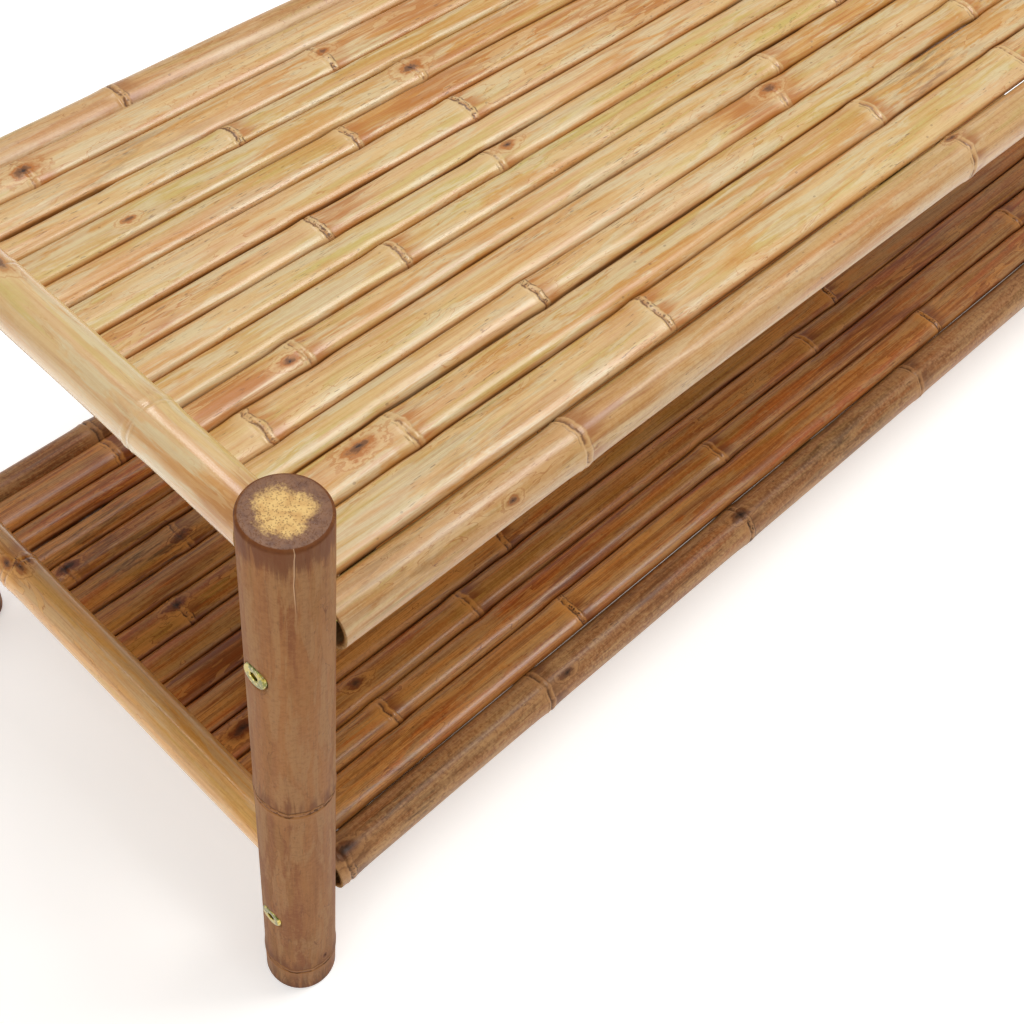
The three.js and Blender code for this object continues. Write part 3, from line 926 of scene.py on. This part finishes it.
# From the left end of each slat, front to rear, in millimetres: its culm nodes, then its knots as
# (along, share of half width, size), then its stains as (along, length, strength, kind).
SEAT_SLATS = [
    ([258, 621], [], [(120, 60, 0.2, "worn"), (500, 90, 0.15, "green")]),
    ([97, 497, 880], [(72, 0.25, 3.0)],
     [(80, 30, 0.4, "brown"), (250, 80, 0.35, "brown"), (560, 50, 0.5, "worn")]),
    ([218, 641], [], [(60, 60, 0.3, "green"), (640, 60, 0.3, "brown"), (420, 60, 0.2, "green")]),
    ([43, 463, 850], [(463, 0.35, 2.6)],
     [(250, 60, 0.35, "brown"), (440, 40, 0.9, "brown"), (540, 70, 0.3, "brown")]),
    ([93, 486, 870], [(84, -0.35, 1.8)],
     [(45, 45, 0.9, "brown"), (560, 80, 0.5, "brown"), (300, 90, 0.1, "brown")]),
    ([182, 576, 930], [], [(380, 150, 0.55, "green"), (90, 60, 0.3, "green")]),
    ([281, 690], [(296, 0.3, 2.0)], [(200, 90, 0.25, "green"), (500, 160, 0.3, "green")]),
    ([163, 560, 905], [], [(45, 45, 0.7, "brown"), (190, 25, 0.6, "brown"), (440, 90, 0.4, "brown")]),
    ([300, 700], [], [(480, 80, 0.8, "brown"), (210, 60, 0.2, "brown")]),
    ([228, 640], [], [(300, 50, 0.9, "brown"), (430, 60, 0.6, "brown"), (30, 30, 0.3, "brown")]),
    ([301, 720], [(301, 0.0, 2.6), (87, -0.2, 1.3)],
     [(360, 70, 0.55, "brown"), (180, 60, 0.3, "green")]),
    ([176, 590, 900], [], [(120, 60, 0.25, "green"), (330, 120, 0.35, "green")]),
    ([266, 680], [(270, 0.2, 1.6)], [(345, 60, 0.9, "brown"), (120, 50, 0.3, "worn")]),
    ([67, 470, 860], [(67, -0.1, 2.6)], [(67, 25, 0.5, "brown"), (420, 90, 0.35, "brown")]),
]
SHELF_SLATS = [
    ([234, 651], [], [(60, 50, 0.4, "worn"), (400, 80, 0.4, "brown")]),
    ([90, 415, 809], [], [(260, 90, 0.6, "brown"), (600, 90, 0.7, "brown")]),
    ([187, 556, 900], [(90, 0.2, 2.0)], [(100, 60, 0.3, "green"), (700, 90, 0.6, "brown")]),
    ([240, 612], [(18, 0.0, 3.0)], [(20, 30, 0.8, "brown"), (450, 80, 0.3, "green")]),
    ([150, 520, 880], [], [(60, 60, 0.7, "brown"), (300, 80, 0.5, "brown")]),
    ([330, 700], [], [(50, 60, 0.9, "brown"), (480, 80, 0.5, "brown")]),
    ([210, 610], [], [(60, 60, 0.3, "green"), (380, 90, 0.5, "brown")]),
    ([44, 440, 820], [(44, 0.3, 2.2)], [(70, 50, 0.5, "green"), (300, 90, 0.5, "brown")]),
    ([280, 650], [], [(50, 60, 0.5, "brown"), (520, 70, 0.4, "brown")]),
    ([81, 470, 860], [(81, -0.2, 1.8)], [(60, 40, 0.7, "worn"), (250, 60, 0.5, "brown")]),
    ([8, 380, 760], [(10, 0.2, 2.4)], [(40, 40, 0.5, "worn"), (500, 90, 0.5, "brown")]),
    ([310, 690], [], [(40, 60, 0.6, "worn"), (430, 80, 0.3, "green")]),
    ([250, 640], [], [(60, 60, 0.6, "brown"), (330, 90, 0.4, "brown")]),
    ([93, 480, 850], [], [(90, 60, 0.5, "brown"), (600, 90, 0.4, "brown")]),
]
# Where a slit between two slats stands open: (slat in front, along, half length, width).
SEAT_SLITS = [
    (12, 60, 42, 2.2), (8, 140, 95, 0.9), (7, 345, 110, 0.7), (7, 505, 30, 1.0), (2, 605, 45, 1.5),
    (2, 220, 160, 1.1), (5, 500, 40, 1.2), (9, 640, 60, 1.6), (13, 760, 60, 1.4), (4, 800, 80, 1.5),
]
SHELF_SLITS = [
    (12, 25, 45, 2.0), (9, 20, 40, 1.3), (4, 560, 70, 2.6), (6, 700, 80, 1.6), (11, 450, 60, 1.4),
]


def node_swell(s, entry, half):
    """How far a slat bulges sideways at its nodes, pushing its neighbour's edge aside."""
    return sum(NODE_SWELL * bell(s, place - half, NODE_SWELL_LENGTH) for place in entry[0])


def slat_edges(deck, names, entries, slits):
    """The curve between each pair of neighbours and the width of the slit along it."""
    boxes = [box_mm(name) for name in names]
    curves = [lambda s, y=boxes[0][0][1] - END_SLAT_REACH: np.full_like(s, y)]
    slit = [np.zeros_like]
    half = boxes[0][1][0]
    for i in range(len(boxes) - 1):
        y = (boxes[i][1][1] + boxes[i + 1][0][1]) / 2
        wander = Wander(31 * i + len(deck), 0.9, (1300, 520, 230))
        openings = [entry[1:] for entry in slits if entry[0] == i + 1]
        ripple = Wander(77 * i + 3, 0.3, (130, 67, 31))

        def width(s, openings=openings, ripple=ripple):
            total = CLOSED_SLIT + np.maximum(ripple(s), -0.1)
            for along, reach, size in openings:
                away = np.abs(s + half - along)
                total = total + size * (1 - smoothstep(away, reach * 0.7, reach))
            return total

        def boundary(s, y=y, wander=wander, front=entries[i], behind=entries[i + 1]):
            return y + wander(s) + node_swell(s, front, half) - node_swell(s, behind, half)

        curves.append(boundary)
        slit.append(width)
    curves.append(lambda s, y=boxes[-1][1][1] + END_SLAT_REACH: np.full_like(s, y))
    slit.append(np.zeros_like)
    return curves, slit


def pole_shoulder(deck_name, crown):
    """How far a pole's surface falls back at crown below its top: the end slats lean out over it."""
    low, high = box_mm(deck_name + "_front_pole")
    radius = (high[2] - low[2]) / 2
    return radius - math.sqrt(radius**2 - (radius - crown) ** 2)


def slat(node, number, seed, skin, entry, curves, slit):
    nodes, knots, stains = entry
    low, high = box_mm(node)
    half = high[0]
    centre = np.array([0, 0, low[2]])
    nodes = [place - half for place in nodes]
    thickness = high[2] - low[2]
    draw = np.random.default_rng(seed)
    sink = draw.uniform(0, 0.9)
    sway = Wander(seed + 2, 0.35)
    skew = draw.uniform(-0.12, 0.12)
    exponent = draw.uniform(2.0, 2.5)
    shoulder = pole_shoulder(skin, thickness - SLAT_SIDE)
    tuck = (shoulder if number == 0 else 0, shoulder if number == len(curves) - 2 else 0)
    stations = stations_between(-half, half, nodes, 6)
    left = curves[number](stations) + slit[number](stations) / 2
    right = curves[number + 1](stations) - slit[number + 1](stations) / 2
    middle = (left + right) / 2
    width = (right - left) / 2
    distances = node_distance(stations, nodes)
    relief = dict(zip(stations.tolist(), ring_relief(distances)))
    distance_at = dict(zip(stations.tolist(), distances))

    def top(share, s):
        round_off = 1 - np.abs(share - skew * (1 - share**2)) ** exponent
        crown = np.maximum(round_off, 0) ** (1 / exponent)
        rise = thickness - SLAT_SIDE - sink + sway(s)
        return SLAT_SIDE + rise * crown + relief[float(s)] * 0.9 * crown

    def bottom(share, s):
        trough = SLAT_TROUGH * np.maximum(1 - (share / 0.72) ** 2, 0)
        return trough * (1 - bell(distance_at[float(s)], 0, 2.2))

    local, faces = bar(stations, left, right, top, bottom, SLAT_COLUMNS, tuck)
    piece = mesh_object(node + "_split", placed(local, "X", centre), faces)

    def edge(s, a, _):
        mid = np.interp(s, stations, middle)
        span = np.interp(s, stations, width)
        return np.abs(a - mid) / span

    knots = [
        (place - half, float(np.interp(place - half, stations, middle + share * width)), size)
        for place, share, size in knots
    ]
    stains = [(place - half, *rest) for place, *rest in stains]
    paint(piece, "X", centre, seed, nodes, knots, stains, edge)

    def chooser(middles, normals):
        on_end = np.abs(normals[:, 0]) > 0.9
        below = (normals[:, 2] < -0.3) & (middles[:, 2] < low[2] + 3.6)
        return np.where(on_end & (np.abs(middles[:, 0]) > half - 0.3), 1, np.where(below, 2, 0))

    slot = "seat_slat_bamboo" if skin == "seat" else "shelf_slat_bamboo"
    finish_piece(piece, [SKINS[skin], SLAT_END, INSIDE], slot, node)
    assign_faces(piece, chooser)


def deck(name, entries, slits, seed):
    names = [f"{name}_slat_{i + 1:02d}" for i in range(len(entries))]
    curves, slit = slat_edges(name, names, entries, slits)
    for i, (node, entry) in enumerate(zip(names, entries)):
        slat(node, i, seed + 13 * i, name, entry, curves, slit)


# ---- Battens ----


def batten(node, seed, pole_node):
    """A half culm across the deck, flat side up, its ends coped round the poles."""
    low, high = box_mm(node)
    pole_low, pole_high = box_mm(pole_node)
    pole_radius = (pole_high[2] - pole_low[2]) / 2
    pole_distance = abs((pole_high[1] + pole_low[1]) / 2)
    reach = pole_distance - pole_radius - JOINT_GAP
    centre = np.array([(low[0] + high[0]) / 2, 0, high[2]])
    half = (high[0] - low[0]) / 2
    depth = high[2] - low[2]
    draw = np.random.default_rng(seed)
    nodes = [draw.uniform(-120, -40), draw.uniform(60, 140)]
    stations = stations_between(-reach, reach, nodes, 7)
    relief = dict(zip(stations.tolist(), ring_relief(node_distance(stations, nodes))))

    def top(share, _):
        return np.zeros_like(share)

    def bottom(share, s):
        return -(depth - 0.9 + 0.8 * relief[float(s)]) * np.sqrt(np.maximum(1 - share**2, 0)) - 0.4

    edges = half - 0.3 + np.zeros_like(stations)
    local, faces = bar(stations, -edges, edges, top, bottom, BATTEN_COLUMNS)
    up = local[:, 2] + centre[2] - middle_height(pole_node)
    coped = pole_distance - np.sqrt(np.maximum((pole_radius + JOINT_GAP) ** 2 - up**2, 0))
    near_end = smoothstep(np.abs(local[:, 0]), reach - 30, reach)
    local[:, 0] += np.sign(local[:, 0]) * (coped - reach) * near_end
    piece = mesh_object(node + "_half_culm", placed(local, "Y", centre), faces)

    def edge(_, a, __):
        return np.abs(a) / half * 0.8

    paint(piece, "Y", centre, seed, nodes, (), [(0, 90, 0.4, "worn")], edge)
    finish_piece(piece, [SKINS["batten"], SLAT_END, INSIDE], "batten_bamboo", node)

    def chooser(middles, normals):
        on_end = (np.abs(normals[:, 1]) > 0.6) & (np.abs(middles[:, 1]) > reach - 1)
        return np.where(on_end, 1, np.where(normals[:, 2] > 0.9, 2, 0))

    assign_faces(piece, chooser)


# ---- Bolts ----


def bolt(node):
    """A flat round-headed connector bolt with a hexagon socket and a rolled thread."""
    low, high = box_mm(node)
    centre = (low + high) / 2
    outward = 1 if centre[0] > 0 else -1
    half = (high[0] - low[0]) / 2
    radius = (high[1] - low[1]) / 2
    shank = BOLT_SHANK_RADIUS
    neck = half - BOLT_HEAD_HEIGHT
    thread_end = -half + THREAD_LENGTH
    side_turn = np.mod(around(BOLT_SIDES) + TAU / 12, TAU / 6) - TAU / 12
    socket = BOLT_SOCKET_REACH / np.cos(side_turn)
    rows = [(-half, 0), (-half, shank - 0.8), (-half + 1, shank)]
    for place in np.arange(-half + 1.5, thread_end, THREAD_PITCH):
        rows += [(place, shank), (place + THREAD_PITCH / 2, shank - 0.35)]
    rows += [
        (thread_end + 1, shank), (neck, shank), (neck, radius - 0.4), (neck + 0.4, radius),
        (half - 0.9, radius), (half - 0.45, radius - 0.15), (half - 0.12, radius - 0.5),
        (half, radius - 1.0), (half, radius * 0.7), (half, socket + 0.35), (half - 0.3, socket),
        (half - 1.7, socket), (half - 2.1, 0.8), (half - 2.1, 0),
    ]
    local, faces = turned(rows, BOLT_SIDES)
    local[:, 0] *= outward
    piece = mesh_object(node + "_head", placed(local, "X", centre), faces)
    attribute(piece.data, "grain", *(vertex_points(piece).T * MM))
    finish_piece(piece, [ZINC], "zinc_bolt", node)
    piece.data.set_sharp_from_angle(angle=BOLT_CREASE)


# ---- The bench ----


def build_bench():
    facing = math.radians(239)
    for number, side in enumerate(("front", "rear")):
        for end in ("left", "right"):
            near = side == "front" and end == "left"
            seed = 11 + 7 * number + (3 if end == "right" else 0)
            leg(f"{side}_{end}_leg", seed, facing if near else facing + 1.9 * seed)

    up = math.pi / 2
    # The short brown stain at one end of three rails (at -152, 150 and -140) is painted shade where
    # the rail meets the leg; the other stains are the skin's own.
    rail("left_upper_rail", 41, "upper_rail", [-90, 24], [(26, up - 0.2, 2.4)],
         [(-152, 16, 0.8, "brown"), (40, 40, 0.3, "brown")], faint=[0])
    rail("left_lower_rail", 42, "lower_rail", [81],
         [(86, up + 0.5, 1.7), (77, up + 0.15, 1.8), (80, up - 0.4, 1.4)],
         [(80, 16, 0.8, "brown"), (-60, 90, 0.2, "green")])
    rail("right_upper_rail", 43, "upper_rail", [-90, 120], [(-90, up + 0.7, 2.0)],
         [(150, 16, 0.8, "brown")])
    rail("right_lower_rail", 44, "lower_rail", [-40, 140], [], [(-140, 20, 0.6, "brown")])

    pole("seat_front_pole", 51, "pole", [165, 520, 880], [(520, up - 0.5, 1.8), (112, up + 0.9, 1.4)],
         [(40, 40, 0.3, "worn"), (190, 40, 0.3, "brown"), (420, 90, 0.3, "green")])
    pole("seat_rear_pole", 52, "pole", [151, 540, 905], [(540, up + 0.3, 2.0)],
         [(300, 90, 0.3, "brown")])
    pole("shelf_front_pole", 53, "shelf_pole", [7, 180, 386, 596, 800],
         [(12, up + 0.2, 2.6), (200, up + 0.5, 1.8), (386, up, 2.2)],
         [(60, 50, 0.5, "worn"), (300, 60, 0.5, "brown"), (500, 60, 0.5, "worn")])
    pole("shelf_rear_pole", 54, "shelf_pole", [96, 480, 830], [], [(60, 50, 0.6, "brown")])

    deck("seat", SEAT_SLATS, SEAT_SLITS, 100)
    deck("shelf", SHELF_SLATS, SHELF_SLITS, 400)

    for i, name in enumerate(("seat", "shelf")):
        for j, place in enumerate(("left", "middle", "right")):
            batten(f"{name}_{place}_batten", 700 + 10 * i + j, f"{name}_front_pole")
        for side in ("front", "rear"):
            for end in ("left", "right"):
                bolt(f"{name}_{side}_{end}_bolt")


# ---- Stage, light and camera ----


def floor():
    mesh = bpy.data.meshes.new("floor")
    size = FLOOR_REACH
    corners = [(-size, -size, 0), (size, -size, 0), (size, size, 0), (-size, size, 0)]
    mesh.from_pydata(corners, [], [(0, 1, 2, 3)])
    ground = bpy.data.objects.new("floor", mesh)
    ground.location.z = -FLOOR_GAP
    bpy.context.scene.collection.objects.link(ground)
    g = Graph("pale_floor")
    g.shade({"Base Color": srgb(240, 239, 237), "Roughness": 0.9})
    g.shade({"Emission Color": (1, 1, 1, 1), "Emission Strength": FLOOR_GLOW})
    mesh.materials.append(g.material)


def softbox(name, position, target, width, height, power, colour=(1, 1, 1)):
    light = bpy.data.lights.new(name, "AREA")
    light.shape = "RECTANGLE"
    light.size = width
    light.size_y = height
    light.energy = power
    light.color = colour
    lamp = bpy.data.objects.new(name, light)
    lamp.location = position
    lamp.rotation_euler = (Vector(target) - Vector(position)).to_track_quat("-Z", "Y").to_euler()
    bpy.context.scene.collection.objects.link(lamp)


def light_studio():
    world = bpy.data.worlds.new("studio")
    world.use_nodes = True
    background = world.node_tree.nodes["Background"]
    background.inputs["Color"].default_value = (1, 0.99, 0.98, 1)
    background.inputs["Strength"].default_value = WORLD_STRENGTH
    bpy.context.scene.world = world
    target = (-0.3, -0.1, 0.37)
    softbox("key", (1.26, -0.78, 3.08), target, 1.3, 1.0, 49, (1, 0.985, 0.96))
    softbox("top", (0.11, 1.12, 3.3), target, 1.2, 1.2, 26)
    softbox("fill", (-2.3, -0.5, 0.9), (-0.4, 0, 0.2), 0.8, 0.8, 8, (1, 0.94, 0.86))


def camera():
    low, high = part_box("front_left_leg")
    aim = Vector(((low[0] + high[0]) / 2, (low[1] + high[1]) / 2, high[2])) + Vector(CAMERA_AIM)
    heading = math.radians(CAMERA_HEADING)
    tilt = math.radians(CAMERA_TILT)
    forward = Vector(
        (math.sin(heading) * math.cos(tilt), math.cos(heading) * math.cos(tilt), -math.sin(tilt))
    )
    level = forward.cross(Vector((0, 0, 1))).normalized()
    over = level.cross(forward)
    roll = math.radians(CAMERA_ROLL)
    right = level * math.cos(roll) + over * math.sin(roll)
    up = right.cross(forward)
    data = bpy.data.cameras.new("camera")
    data.lens = CAMERA_LENS
    data.sensor_width = 36
    seen = bpy.data.objects.new("camera", data)
    turn = Matrix((right, up, -forward)).transposed().to_4x4()
    seen.matrix_world = Matrix.Translation(aim - forward * CAMERA_DISTANCE) @ turn
    bpy.context.scene.collection.objects.link(seen)
    bpy.context.scene.camera = seen


bpy.context.scene.view_settings.view_transform = "Standard"
camera()
build_bench()
floor()
light_studio()
